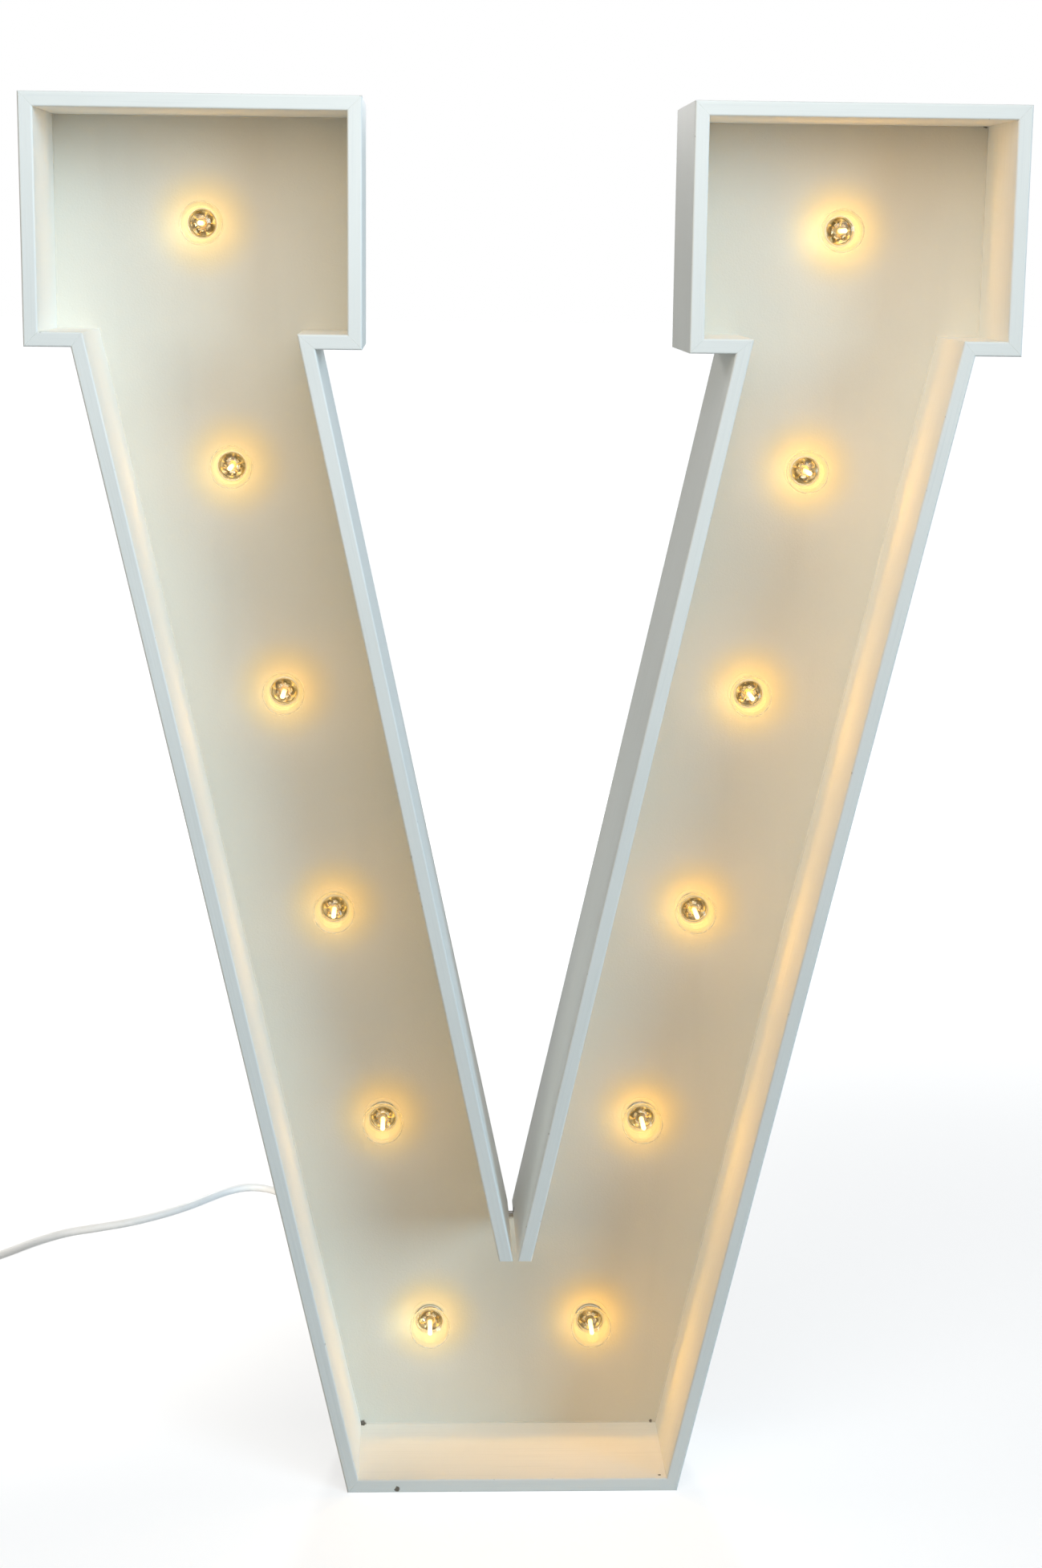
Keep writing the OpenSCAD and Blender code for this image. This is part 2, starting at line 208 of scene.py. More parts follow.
lead_spline.points.add(len(lead_line) - 1)
for knot, p in zip(lead_spline.points, lead_line):
    knot.co = (*p, 1)
lead_spline.use_smooth = True
lead = bpy.data.objects.new("lead", lead_curve)
scene.collection.objects.link(lead)
lead_length = sum((b - a).length for a, b in zip(lead_line, lead_line[1:]))

jacket = Finish("lead jacket", {"Roughness": 0.4})
grime = jacket.noise(jacket.place(), 55, 4)
jacket.feed(
    Base_Color=jacket.blend(jacket.between(grime, 0.35, 0.75), (0.93, 0.93, 0.925), (0.89, 0.89, 0.88)),
    Roughness=0.34 + 0.16 * grime,
    Normal=jacket.bump(jacket.noise(jacket.place(), 900, 2), 0.0002, 0.3),
)
lead_curve.materials.append(jacket.material)
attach(lead, "letter")
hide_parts("cord", "cord_coil")

# Tie round the coil: a soft strap, 8 mm wide, drawn tight over both layers of turns.
# It is woven polyester, closed on itself, and lies flat where the coil rests on the floor.
tie_u, tie_w, tie_t = 0.5, 0.008, 0.0008
bundle_reach, bundle_rise, bundle_r, bundle_spread, floor_gap = 0.0444, 0.0049, 0.0097, 1.02, 0.0001
up = Vector((0, 0, 1))


def finished(name, mesh, material, body, smooth=True):
    """Puts a mesh, whose place is in its points, into the scene as one piece on a CAD body."""
    piece = bpy.data.objects.new(name, mesh)
    scene.collection.objects.link(piece)
    mesh.materials.clear()
    mesh.materials.append(material)
    mesh.polygons.foreach_set("use_smooth", [smooth] * len(mesh.polygons))
    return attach(piece, body)


def lofted(name, rings, closed_path=False):
    """A skin over rings of points. Open lofts get a cap at each end."""
    shape = bmesh.new()
    rows = [[shape.verts.new(p) for p in ring] for ring in rings]
    pairs = list(zip(rows, rows[1:] + rows[:1])) if closed_path else list(zip(rows, rows[1:]))
    for near, far in pairs:
        for k in range(len(near)):
            shape.faces.new((near[k - 1], near[k], far[k], far[k - 1]))
    if not closed_path:
        shape.faces.new(rows[0])
        shape.faces.new(list(reversed(rows[-1])))
    bmesh.ops.recalc_face_normals(shape, faces=shape.faces)
    mesh = bpy.data.meshes.new(name)
    shape.to_mesh(mesh)
    shape.free()
    return mesh


def circle(count):
    """Angles once round."""
    return [2 * math.pi * k / count for k in range(count)]


def oblong_reach(angle, power):
    """Reach at an angle of an oblong with half sides of 1; its corners are round at a low power."""
    return (abs(math.cos(angle)) ** power + abs(math.sin(angle)) ** power) ** (-1 / power)


tie_angle = coil_angle - 2 * math.pi * tie_u
tie_out = Vector((math.cos(tie_angle), math.sin(tie_angle), 0))
tie_side = Vector((-tie_out.y, tie_out.x, 0))
tie_mid = coil_mid + bundle_reach * tie_out + bundle_rise * up
tie_rings = []
for a in circle(40):
    spoke = oblong_reach(a, 3) * (math.cos(a) * tie_out * bundle_spread + math.sin(a) * up)
    ring = []
    for s, t in ((-1, 0), (1, 0), (1, tie_t), (-1, tie_t)):
        point = tie_mid + spoke * bundle_r + tie_side * s * tie_w / 2 + spoke.normalized() * t
        point.z = max(point.z, floor_gap + tie_t - t)
        ring.append(point)
    tie_rings.append(ring)
tie_cloth = Finish("tie weave", {"Roughness": 0.8, "Sheen Weight": 0.3})
weave = tie_cloth.noise(tie_cloth.place(), 1500, 1)
tie_cloth.feed(
    Base_Color=tie_cloth.blend(weave, (0.72, 0.72, 0.7), (0.86, 0.86, 0.84)),
    Normal=tie_cloth.bump(weave, 0.0004, 0.5),
)
tie = finished("coil_tie", lofted("coil_tie", tie_rings, closed_path=True), tie_cloth.material, "letter")

# Plug: a moulded two-pin mains plug with a ringed sleeve over the lead and finger ribs.
# Body and sleeve are one shot of white plastic; the pins are nickel-plated brass.
sleeve_l, body_l, body_w, body_h = 0.028, 0.024, 0.036, 0.028
pin_d, pin_l, pin_pitch, pin_sunk = 0.0048, 0.019, 0.019, 0.001
sleeve_rings, sleeve_pitch, sleeve_start, sleeve_r, sleeve_flare = 5, 0.0046, 0.002, 0.0056, 0.00052
finger_ribs, rib_pitch, rib_start = 4, 0.0028, 0.009
plug_side = Vector((-plug_way.y, plug_way.x, 0))


def plug_ring(along, half_w, half_h, power, count=48):
    """One level of the plug: a rounded oblong across the lead."""
    ring = []
    for a in circle(count):
        spoke = half_w * math.cos(a) * plug_side + half_h * math.sin(a) * up
        ring.append(plug_at + along * plug_way + oblong_reach(a, power) * spoke)
    return ring


plug_rings = [plug_ring(0, 0.0047, 0.0047, 2), plug_ring(0.0003, 0.0055, 0.0055, 2)]
for k in range(sleeve_rings):
    start, r = sleeve_start + k * sleeve_pitch, sleeve_r + k * sleeve_flare
    for along, size in ((0, 1.0), (0.0026, 1.04), (0.0029, 0.9), (0.0042, 0.92)):
        plug_rings.append(plug_ring(start + along, r * size, r * size, 2))
plug_rings += [plug_ring(0.0262, 0.0085, 0.0083, 2.1), plug_ring(sleeve_l, 0.0105, 0.0098, 2.3)]
for along, w, h in ((0.0005, 0.8, 0.82), (0.002, 0.93, 0.94), (0.0045, 0.99, 0.99), (0.007, 1, 1)):
    plug_rings.append(plug_ring(sleeve_l + along, w * body_w / 2, h * body_h / 2, 3))
for k in range(finger_ribs):
    start = sleeve_l + rib_start + k * rib_pitch
    for along, size in ((0, 1), (0.0004, 0.97), (0.0014, 0.97), (0.0018, 1)):
        plug_rings.append(plug_ring(start + along, size * body_w / 2, body_h / 2, 3.2))
for along, size in ((0.0222, 1), (0.0233, 0.985), (0.024, 0.95)):
    plug_rings.append(plug_ring(sleeve_l + along, size * body_w / 2, size * body_h / 2, 3.2))
plug_plastic = Finish("plug plastic", {"Roughness": 0.42, "Specular IOR Level": 0.45})
plug_grain = plug_plastic.noise(plug_plastic.place(), 700, 3)
plug_tint = plug_plastic.noise(plug_plastic.place(), 60, 3)
plug_plastic.feed(
    Base_Color=plug_plastic.blend(plug_tint, (0.8, 0.8, 0.78), (0.86, 0.86, 0.84)),
    Roughness=0.34 + 0.18 * plug_grain,
    Normal=plug_plastic.bump(plug_grain, 0.0002, 0.3),
)
plug = finished("plug_body", lofted("plug_body", plug_rings), plug_plastic.material, "letter")
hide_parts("plug")

pin_metal = Finish("pin nickel", {"Metallic": 1.0, "Base Color": (0.72, 0.7, 0.66, 1)})
pin_metal.feed(Roughness=0.16 + 0.2 * pin_metal.noise(pin_metal.place(), 600, 3))
pin_steps = [(0, 1), (pin_l - 0.0014, 1), (pin_l - 0.0004, 0.86), (pin_l + 0.0004, 0.62),
             (pin_l + 0.001, 0.2)]
for name, k in (("plug_pin_a", -1), ("plug_pin_b", 1)):
    foot = plug_at + (sleeve_l + body_l - pin_sunk) * plug_way + k * pin_pitch / 2 * plug_side
    rings = [[foot + along * plug_way + size * pin_d / 2 * (math.cos(a) * plug_side + math.sin(a) * up)
              for a in circle(24)] for along, size in pin_steps]
    finished(name, lofted(name, rings), pin_metal.material, "letter")

# Rim boards: 12 mm boards set on edge round the letter and mitred at its corners, with
# eased edges. They are brushed with white satin paint, and a few corners have lost theirs.
board_t, letter_front, letter_back = 0.012, -0.075, 0.075
eased_edge, mitre_edge = 0.0016, 0.0003
nicks = [
    ((-0.1358, 0.0388, 0.0122), 0.0042), ((0.1326, 0.040, 0.0125), 0.0022),
    ((0.3915, 0.040, 1.1890), 0.0030), ((-0.1026, -0.075, 0.0032), 0.0030),
    ((0.1311, -0.0681, 0.0120), 0.0016), ((0.0, 0.0445, 0.2170), 0.0070),
]
nick_ragged, bare_wood = 0.0035, (0.20, 0.17, 0.135)
side_boards = ("inner_leg_board", "inner_ledge", "inner_cheek", "top_board",
               "outer_cheek", "outer_ledge", "outer_leg_board")
board_nodes = ["bottom_board"] + [f"{side}_{name}" for side in ("left", "right") for name in side_boards]


def board_corners(node):
    """The four corners of a board's section in x and z, in order round it."""
    corners = []
    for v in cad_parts[node].data.vertices:
        spot = Vector((v.co.x, v.co.z))
        if all((spot - corner).length > 1e-4 for corner in corners):
            corners.append(spot)
    middle = sum(corners, Vector((0, 0))) / len(corners)
    return sorted(corners, key=lambda c: math.atan2(c.y - middle.y, c.x - middle.x))


def eased_board(node):
    """A board with rounded long edges and crisp mitres. Its points know where they lie along it."""
    section = board_corners(node)
    edges = [(section[k - 1], section[k]) for k in range(4)]
    long_edges = sorted(range(4), key=lambda k: -(edges[k][1] - edges[k][0]).length)[:2]
    start, end = edges[long_edges[0]]
    shape = bmesh.new()
    weight = shape.edges.layers.float.new("bevel_weight_edge")
    front, back = ([shape.verts.new((c.x, y, c.y)) for c in section] for y in (letter_front, letter_back))
    shape.faces.new(front)
    shape.faces.new(list(reversed(back)))
    for k in range(4):
        shape.faces.new((front[k - 1], front[k], back[k], back[k - 1]))
    bmesh.ops.recalc_face_normals(shape, faces=shape.faces)
    for edge in shape.edges:
        edge[weight] = mitre_edge / eased_edge
    for k in long_edges:
        for side in (front, back):
            shape.edges.get((side[k - 1], side[k]))[weight] = 1
    mesh = bpy.data.meshes.new(node)
    shape.to_mesh(mesh)
    shape.free()
    rough = bpy.data.objects.new("rough_board", mesh)
    scene.collection.objects.link(rough)
    bevel = rough.modifiers.new("eased", "BEVEL")
    bevel.limit_method, bevel.width, bevel.segments = "WEIGHT", eased_edge, 4
    bevel.harden_normals = True
    mesh.polygons.foreach_set("use_smooth", [True] * len(mesh.polygons))
    bpy.context.view_layer.update()
    made = bpy.data.meshes.new_from_object(rough.evaluated_get(bpy.context.evaluated_depsgraph_get()))
    bpy.data.objects.remove(rough)
    way = (end - start).normalized()
    along = made.attributes.new("along", "FLOAT_VECTOR", "POINT")
    for v, spot in zip(made.vertices, along.data):
        reach = Vector((v.co.x, v.co.z)) - start
        spot.vector = (reach.dot(way), abs(reach.cross(way)), v.co.y - letter_front)
    return made


def bare_spots(paint, here):
    """1 where the paint has come off, with ragged edges."""
    bare = None
    for spot, size in nicks:
        gap = paint.node("ShaderNodeVectorMath", {"operation": "DISTANCE"}, {0: here, 1: spot}, out="Value")
        ragged = gap + nick_ragged * (paint.noise(here, 420, 3) - 0.5)
        mask = paint.between(ragged, size, size * 0.55)
        bare = mask if bare is None else bare.maths("MAXIMUM", mask)
    return bare


board_paint = Finish("board paint", {"Specular IOR Level": 0.2})
along = board_paint.node("ShaderNodeAttribute", {"attribute_name": "along"}, out="Vector")
here = board_paint.place()
strokes = board_paint.noise(along, 1, 4, stretch=(9, 420, 420))
lap_marks = board_paint.noise(along, 1, 2, stretch=(4, 60, 60), seed=3)
cloud = board_paint.noise(here, 7, 3)
off_middle = board_paint.node("ShaderNodeSeparateXYZ", {}, {"Vector": along}, out="Y") - board_t / 2
from_front = board_paint.node("ShaderNodeSeparateXYZ", {}, {"Vector": along}, out="Z")
near_edge = board_paint.between(off_middle.maths("ABSOLUTE"), 0.0042, 0.0060)
front_edge_band = near_edge * board_paint.between(from_front, 0.0022, 0.0004)
speck = board_paint.between(board_paint.noise(here, 160, 4, seed=5), 0.66, 0.72)
bare = bare_spots(board_paint, here)
coat = board_paint.blend(board_paint.between(cloud, 0.3, 0.7), (0.875, 0.872, 0.83), (0.91, 0.905, 0.862))
coat = board_paint.blend(board_paint.between(strokes, 0.5, 0.8) * 0.45, coat, (0.78, 0.785, 0.76))
# Darker specks along the front edges of each board
coat = board_paint.blend(front_edge_band * speck * 0.8, coat, (0.5, 0.47, 0.42))
board_paint.feed(
    Base_Color=board_paint.blend(bare, coat, bare_wood),
    Roughness=0.46 + 0.2 * strokes + 0.1 * cloud,
    Normal=board_paint.bump(strokes + 0.6 * lap_marks - 2.5 * bare, 0.0005, 0.35),
)
for node in board_nodes:
    board = finished(f"painted_{node}", eased_board(node), board_paint.material, "letter")
    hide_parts(node)

# Panel: one sheet let in between the boards, drilled for the lampholders and rolled with
# the same white paint in a flatter coat. Round each bulb its front is tinted yellow: a painted glow of the
# bulbs' light.
panel_front = 0.040
painted_bulb_glow, painted_glow_from, painted_glow_to = (0.82, 0.71, 0.45), 0.053, 0.018
bulb_places = {}
for side in ("left", "right"):
    for k in range(1, 7):
        low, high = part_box(f"{side}_globe_{k}")
        bulb_places[side, k] = Vector(((low.x + high.x) / 2, panel_front, (low.z + high.z) / 2))


def dress(node, finish):
    """Gives a CAD node that keeps its shape a made finish."""
    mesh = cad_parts[node].data
    mesh.materials.clear()
    mesh.materials.append(finish.material)


panel_paint = Finish("panel paint", {"Specular IOR Level": 0.3})
panel_spot = panel_paint.place()
stipple = panel_paint.noise(panel_spot, 620, 3)
roller = panel_paint.noise(panel_spot, 1, 2, stretch=(26, 26, 5))
shade = panel_paint.between(panel_paint.noise(panel_spot, 4, 3, seed=2), 0.3, 0.7)
rolled_coat = panel_paint.blend(shade, (0.745, 0.71, 0.615), (0.785, 0.75, 0.655))
streaks = panel_paint.between(roller, 0.5, 0.8) * 0.4
rolled_coat = panel_paint.blend(streaks, rolled_coat, (0.71, 0.675, 0.585))
nearest = None
for at in bulb_places.values():
    apart = {0: panel_spot, 1: at}
    gap = panel_paint.node("ShaderNodeVectorMath", {"operation": "DISTANCE"}, apart, out="Value")
    nearest = gap if nearest is None else nearest.maths("MINIMUM", gap)
panel_depth = panel_paint.node("ShaderNodeSeparateXYZ", {}, {"Vector": panel_spot}, out="Y")
lit_side = panel_paint.between(panel_depth, panel_front + 0.004, panel_front + 0.001)
# Painted light: the panel's front turns yellow near each bulb, a painted glow of the bulbs' light
painted_glow_mask = panel_paint.between(nearest, painted_glow_from, painted_glow_to) * lit_side
rolled_coat = panel_paint.blend(painted_glow_mask, rolled_coat, painted_bulb_glow)
panel_paint.feed(
    Base_Color=panel_paint.blend(bare_spots(panel_paint, panel_spot), rolled_coat, bare_wood),
    Roughness=0.5 + 0.2 * stipple,
    Normal=panel_paint.bump(stipple + 0.5 * roller, 0.0004, 0.4),
)
dress("panel", panel_paint)

# Filler bead: painter's filler wiped into the joint between the panel and the boards.
# It is painted over with the panel and runs once round the inside of the letter.
bead_r = 0.0011


class Growth(Flow):
    """A geometry tree with named sizes, which ends in Realize Instances and Set Material."""

    kinds = {int: "NodeSocketInt", float: "NodeSocketFloat", tuple: "NodeSocketVector"}

    def __init__(self, name, **sizes):
        super().__init__(bpy.data.node_groups.new(name, "GeometryNodeTree"))
        self.sizes = sizes
        sockets = self.tree.interface
        sockets.new_socket("Geometry", in_out="OUTPUT", socket_type="NodeSocketGeometry")
        sockets.new_socket("Base", in_out="INPUT", socket_type="NodeSocketGeometry")
        for label, size in sizes.items():
            sockets.new_socket(label, in_out="INPUT", socket_type=self.kinds[type(size)])
        sockets.new_socket("Material", in_out="INPUT", socket_type="NodeSocketMaterial")
        self.given = self.tree.nodes.new("NodeGroupInput")

    def size(self, label):
        return Value(self, self.given.outputs[label])

    def vector(self, x, y, z):
        return self.node("ShaderNodeCombineXYZ", {}, {"X": x, "Y": y, "Z": z})

    def close(self, geometry):
        geometry = self.node("GeometryNodeRealizeInstances", {}, {"Geometry": geometry})
        dressed = {"Geometry": geometry, "Material": self.size("Material")}
        geometry = self.node("GeometryNodeSetMaterial", {}, dressed)
        self.tree.links.new(geometry.socket, self.tree.nodes.new("NodeGroupOutput").inputs[0])

    def grow(self, material, points=(), edges=(), **sizes):
        """The plain mesh that the tree makes on these points and edges."""
        base = bpy.data.meshes.new("base")
        base.from_pydata([tuple(point) for point in points], edges, [])
        host = bpy.data.objects.new("host", base)
        scene.collection.objects.link(host)
        modifier = host.modifiers.new("growth", "NODES")
        modifier.node_group = self.tree
        values = {**self.sizes, **sizes, "Material": material}
        for item in self.tree.interface.items_tree:
            if item.name in values:
                modifier[item.identifier] = values[item.name]
        bpy.context.view_layer.update()
        mesh = bpy.data.meshes.new_from_object(host.evaluated_get(bpy.context.evaluated_depsgraph_get()))
        bpy.data.objects.remove(host)
        return mesh


bead_tree = Growth("filler_bead", Radius=bead_r)
bead_line = bead_tree.node("GeometryNodeMeshToCurve", {}, {"Mesh": bead_tree.size("Base")})
bead_sizes = {"Resolution": 8, "Radius": bead_tree.size("Radius")}
bead_section = bead_tree.node("GeometryNodeCurvePrimitiveCircle", {}, bead_sizes)
swept = {"Curve": bead_line, "Profile Curve": bead_section}
bead_tree.close(bead_tree.node("GeometryNodeCurveToMesh", {}, swept))
sheet = bmesh.new()
sheet.from_mesh(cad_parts["panel"].data)
bmesh.ops.remove_doubles(sheet, verts=sheet.verts, dist=1e-5)
rim_edges = []
for edge in sheet.edges:
    facing = [abs(face.normal.y) > 0.9 for face in edge.link_faces]
    front = all(abs(v.co.y - panel_front) < 1e-5 for v in edge.verts)
    if front and any(facing) and not all(facing) and edge.calc_length() > 0.01:
        rim_edges.append([v.co.copy() for v in edge.verts])
sheet.free()
bead_points = [point for edge in rim_edges for point in edge]
bead_edges = [(k, k + 1) for k in range(0, len(bead_points), 2)]
bead_mesh = bpy.data.meshes.new("bead_path")
bead_mesh.from_pydata([tuple(p) for p in bead_points], bead_edges, [])
path = bmesh.new()
path.from_mesh(bead_mesh)
bmesh.ops.remove_doubles(path, verts=path.verts, dist=1e-4)
path.verts.index_update()
path_edges = [[v.index for v in edge.verts] for edge in path.edges]
bead = bead_tree.grow(panel_paint.material, [v.co for v in path.verts], path_edges)
path.free()
finished("filler_bead", bead, panel_paint.material, "letter")

# Bulbs: small clear globes on screw caps, each with a dished plate in its neck, a glass
# stem and one glowing stick. A bulb unscrews from its lampholder, so each is on its own body.
globe_r, glass_t, neck_r, neck_reach, cap_r, cap_proud = 0.0185, 0.0009, 0.012, 0.021, 0.013, 0.002
shell_l, thread_pitch, thread_depth = 0.020, 0.003629, 0.0007
stick_r, stick_l, stem_l, stem_foot = 0.002, 0.02835, 0.006, 0.00225
neck_blend, plate_r, lamp_r = 0.005, 0.0110, 0.004


def turned(name, profile, at, count=48):
    """A shape turned about a bulb's axis from (radius, distance in front of the panel) pairs."""
    shape = bmesh.new()
    rows = []
    for r, w in profile:
        ring = [(at.x + r * math.cos(a), at.y - w, at.z + r * math.sin(a))
                for a in (circle(count) if r > 0 else [0])]
        rows.append([shape.verts.new(p) for p in ring])
    for near, far in zip(rows, rows[1:]):
        for j in range(count if len(near) + len(far) > 2 else 0):
            first = near if len(near) == 1 else [near[j - 1], near[j]]
            second = far if len(far) == 1 else [far[j], far[j - 1]]
            shape.faces.new(first + second)
    bmesh.ops.remove_doubles(shape, verts=shape.verts, dist=1e-6)
    bmesh.ops.recalc_face_normals(shape, faces=shape.faces)
    mesh = bpy.data.meshes.new(name)
    shape.to_mesh(mesh)
    shape.free()
    return mesh


def globe_wall(r, neck, blend, count=26):
    """Half section of one glass wall, from the neck's end over a blend to the front pole."""
    middle = cap_proud + neck_reach
    drop = math.sqrt((r + blend) ** 2 - (neck + blend) ** 2)
    tip = math.atan2(drop, neck + blend)
    wall = [(neck, cap_proud), (neck, middle - drop - 0.0002)]
    for j in range(7):
        a = math.pi - tip * j / 6
        wall.append((neck + blend + blend * math.cos(a), middle - drop + blend * math.sin(a)))
    for j in range(1, count + 1):
        a = -tip + (math.pi / 2 + tip) * j / count
        wall.append((max(r * math.cos(a), 0) if j < count else 0, middle + r * math.sin(a)))
    return wall


globe_profile = globe_wall(globe_r, neck_r, neck_blend)
globe_profile += list(reversed(globe_wall(globe_r - glass_t, neck_r - glass_t, neck_blend + glass_t)))
globe_profile.append(globe_profile[0])
stem_top = stem_foot + stem_l
stick_top = stem_top + stick_l
stem_profile = [(0, cap_proud - 0.0025), (0.0068, cap_proud - 0.0016), (0.0070, stem_foot + 0.0002),
                (0.0052, stem_foot + 0.0014), (0.0038, stem_foot + 0.0029), (0.0031, stem_foot + 0.0045),
                (0.0029, stem_top - 0.0005), (0.0025, stem_top), (0, stem_top)]
stick_profile = [(0, stem_top), (stick_r, stem_top), (stick_r, stick_top - 0.0012),
                 (stick_r * 0.8, stick_top - 0.0004), (stick_r * 0.45, stick_top), (0, stick_top)]
plate_profile = [(0.003, -0.0025), (0.006, -0.0020), (0.0085, -0.0012), (0.0106, 0.0001),
                 (0.0109, 0.0001), (plate_r, -0.0003), (0.0108, -0.0007), (0.0085, -0.0020),
                 (0.006, -0.0028), (0.003, -0.0033)]
plate_lobes, plate_wave, plate_turn = 5, 0.0009, 1.3

# The glass has a faint warm emission: a painted glow, since clear glass gives no light of its own
glass = Finish("globe glass", {
    "Transmission Weight": 1.0, "IOR": 1.32, "Roughness": 0.0, "Base Color": (1, 0.98, 0.93, 1),
    "Emission Color": (1.0, 0.62, 0.12, 1), "Emission Strength": 0.06,
})
stem_glass = Finish("stem glass", {
    "Transmission Weight": 1.0, "IOR": 1.45, "Base Color": (0.96, 0.9, 0.78, 1),
})
stem_glass.feed(Roughness=0.02 + 0.1 * stem_glass.noise(stem_glass.place(), 500, 2))
glow = Finish("stick glow", {"Base Color": (1, 0.9, 0.6, 1), "Emission Strength": 3.0})
depth = glow.node("ShaderNodeSeparateXYZ", {}, {"Vector": glow.place()}, out="Y")
to_root = glow.between(depth, panel_front - 0.036, panel_front - 0.009)
glow.feed(Emission_Color=glow.blend(to_root, (1.0, 0.72, 0.22), (1.0, 0.66, 0.17)))
plate_metal = Finish("plate metal", {"Metallic": 1.0})
soot = plate_metal.noise(plate_metal.place(), 130, 2)
bright = plate_metal.between(soot, 0.36, 0.64)
plate_metal.feed(
    Base_Color=plate_metal.blend(bright, (0.08, 0.056, 0.028), (0.48, 0.37, 0.19)),
    Roughness=0.1 + 0.14 * soot,
)
cap_metal = Finish("cap metal", {"Metallic": 1.0})
tarnish = cap_metal.noise(cap_metal.place(), 240, 4)
cap_metal.feed(
    Base_Color=cap_metal.blend(tarnish, (0.84, 0.82, 0.77), (0.68, 0.66, 0.60)),
    Roughness=0.32 + 0.25 * tarnish,
)

# The cap's shell is a sheet rolled into a tube, whose radius follows the thread
cap_tree = Growth("screw_cap", Radius=cap_r, Length=shell_l, Pitch=thread_pitch, Depth=thread_depth,
                  Place=(0.0, 0.0, 0.0))
shell_grid = {"Size X": 1.0, "Size Y": 1.0, "Vertices X": 49, "Vertices Y": 65}
shell_sheet = cap_tree.node("GeometryNodeMeshGrid", {}, shell_grid)
grid_spot = cap_tree.node("GeometryNodeInputPosition")
angle = cap_tree.node("ShaderNodeSeparateXYZ", {}, {0: grid_spot}, out="X") * (-2 * math.pi)
share = cap_tree.node("ShaderNodeSeparateXYZ", {}, {0: grid_spot}, out="Y") + 0.5
run = share * cap_tree.size("Length")
wave = (run / cap_tree.size("Pitch") * (2 * math.pi) + angle).maths("COSINE") * 0.5 - 0.5
starts = ((share - 0.12) * 9).maths("MAXIMUM", 0.0).maths("MINIMUM", 1.0)
ends = ((0.97 - share) * 20).maths("MAXIMUM", 0.0).maths("MINIMUM", 1.0)
radius = cap_tree.size("Radius") + cap_tree.size("Depth") * wave * starts * ends
rolled = cap_tree.vector(radius * angle.maths("COSINE"), run, radius * angle.maths("SINE"))
placed = cap_tree.node("ShaderNodeVectorMath", {"operation": "ADD"}, {0: rolled, 1: cap_tree.size("Place")})
skin = cap_tree.node("GeometryNodeSetPosition", {}, {"Geometry": shell_sheet, "Position": placed})
cap_tree.close(cap_tree.node("GeometryNodeMergeByDistance", {}, {"Geometry": skin, "Distance": 1e-6}))


def joined(name, meshes):
    """Several meshes as one."""
    shape = bmesh.new()
    for mesh in meshes:
        shape.from_mesh(mesh)
    bmesh.ops.remove_doubles(shape, verts=shape.verts, dist=1e-5)
    whole = bpy.data.meshes.new(name)
    shape.to_mesh(whole)
    shape.free()
    return whole


def plate_rings(at, turn):
    """The plate in the bulb's neck, pressed with shallow lobes that catch the light differently."""
    rings = []
    for r, w in plate_profile:
        level, swell = at.y - cap_proud - w, plate_wave * math.sin(math.pi * r / plate_r)
        rings.append([(at.x + r * math.cos(a), level - swell * math.sin(plate_lobes * a + turn),
                       at.z + r * math.sin(a)) for a in circle(60)])
    return rings


shell_end = cap_proud - shell_l
rim_profile = [(0.0112, cap_proud - 0.0006), (0.0116, cap_proud), (0.0126, cap_proud),
               (cap_r, cap_proud - 0.0001)]
end_profile = [(cap_r, shell_end), (cap_r - 0.0006, shell_end - 0.0006), (0.0095, shell_end - 0.003),
               (0.0056, shell_end - 0.0062), (0.0046, shell_end - 0.0065), (0.0045, shell_end - 0.0082),
               (0.003, shell_end - 0.0089), (0, shell_end - 0.009)]
bulb_light = {
    "left": [("POINT", (1.0, 0.50, 0.08), 0.0155), ("SPOT", (1.0, 0.50, 0.06), 0.060)],
    "right": [("POINT", (1.0, 0.50, 0.05), 0.0260), ("SPOT", (1.0, 0.46, 0.02), 0.100)],
}
for (side, k), at in bulb_places.items():
    bulb, stem = f"{side}_bulb_{k}", f"{side}_stem_{k}"
    globe = finished(f"{side}_glass_{k}", turned("globe", globe_profile, at, 64), glass.material, bulb)
    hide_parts(f"{side}_globe_{k}")
    shell = cap_tree.grow(cap_metal.material, Place=(at.x, at.y - cap_proud, at.z))
    metal = joined("screw_cap", [shell, turned("rim", rim_profile, at), turned("end", end_profile, at)])
    screw = finished(f"{side}_screw_cap_{k}", metal, cap_metal.material, bulb)
    pressed = lofted("plate", plate_rings(at, plate_turn * k))
    plate = finished(f"{side}_plate_{k}", pressed, plate_metal.material, bulb)
    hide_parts(f"{side}_cap_{k}")
    drawn = turned("stem", stem_profile, at, 32)
    support = finished(f"{side}_glass_stem_{k}", drawn, stem_glass.material, stem)
    stick = finished(f"{side}_stick_{k}", turned("stick", stick_profile, at, 24), glow.material, stem)
    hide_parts(f"{side}_filament_{k}")
    for piece in (globe, support, stick):
        piece.visible_shadow = False
    for kind, colour, power in bulb_light[side]:
        lamp = bpy.data.lights.new(f"{side}_{kind.lower()}_{k}", kind)
        lamp.color, lamp.energy, lamp.shadow_soft_size = colour, power, lamp_r
        lamp.cycles.use_multiple_importance_sampling = False
        if kind == "SPOT":
            lamp.spot_size, lamp.spot_blend = math.pi, 0.15
        light = bpy.data.objects.new(lamp.name, lamp)
        light.location = at + Vector((0, -(stem_top + 0.5 * stick_l), 0))
        light.rotation_euler = (-math.pi / 2, 0, 0)
        light.visible_camera = light.visible_glossy = light.visible_transmission = False
        scene.collection.objects.link(light)

